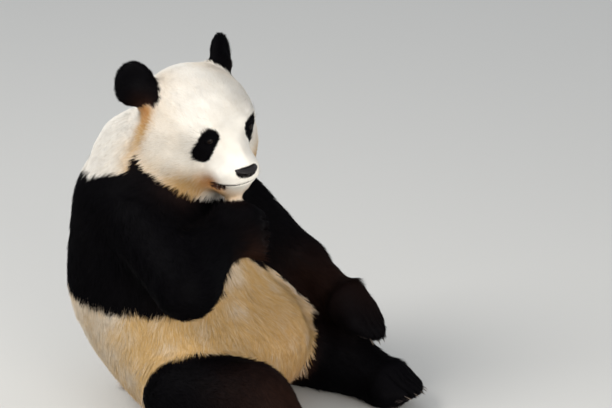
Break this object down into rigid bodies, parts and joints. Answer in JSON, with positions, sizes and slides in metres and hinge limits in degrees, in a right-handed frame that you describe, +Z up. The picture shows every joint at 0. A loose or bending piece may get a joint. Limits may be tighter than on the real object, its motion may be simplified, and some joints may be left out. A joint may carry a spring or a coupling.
{
  "type": "giant panda",
  "caption": "Life-size giant panda sitting upright with its legs stretched forward, one forepaw raised to its mouth and the other resting over a leg.",
  "frame": {"origin": "on the floor, inside the flat the animal sits on", "axes": "+X the way the trunk faces, +Y the animal's left, +Z up"},
  "size_m": [0.8546, 0.7406, 0.8897],
  "materials": {
    "white_coat": "short dense fur",
    "cream_coat": "short dense fur, cream with a tan cast",
    "black_coat": "short dense fur, black",
    "eye": "wet, dark brown",
    "nose_skin": "moist pebbled skin",
    "claw_horn": "dull horn"
  },
  "bodies": {
    "root": {"trunk": "cream_coat", "neck": "white_coat", "tail": "white_coat", "head": "white_coat", "nose": "nose_skin", "eye_right": "eye", "eye_left": "eye", "ear_right": "black_coat", "ear_left": "black_coat", "upper_arm_right": "black_coat", "forearm_right": "black_coat", "forepaw_right": "black_coat", "thigh_right": "black_coat", "shin_right": "black_coat", "hind_foot_right": "black_coat", "upper_arm_left": "black_coat", "forearm_left": "black_coat", "forepaw_left": "black_coat", "thigh_left": "black_coat", "shin_left": "black_coat", "hind_foot_left": "black_coat", "claw_forepaw_right_1": "claw_horn", "claw_forepaw_right_2": "claw_horn", "claw_forepaw_right_3": "claw_horn", "claw_forepaw_right_4": "claw_horn", "claw_forepaw_right_5": "claw_horn", "claw_hind_foot_right_1": "claw_horn", "claw_hind_foot_right_2": "claw_horn", "claw_hind_foot_right_3": "claw_horn", "claw_hind_foot_right_4": "claw_horn", "claw_hind_foot_right_5": "claw_horn", "claw_forepaw_left_1": "claw_horn", "claw_forepaw_left_2": "claw_horn", "claw_forepaw_left_3": "claw_horn", "claw_forepaw_left_4": "claw_horn", "claw_forepaw_left_5": "claw_horn", "claw_hind_foot_left_1": "claw_horn", "claw_hind_foot_left_2": "claw_horn", "claw_hind_foot_left_3": "claw_horn", "claw_hind_foot_left_4": "claw_horn", "claw_hind_foot_left_5": "claw_horn"}
  },
  "joints": []
}
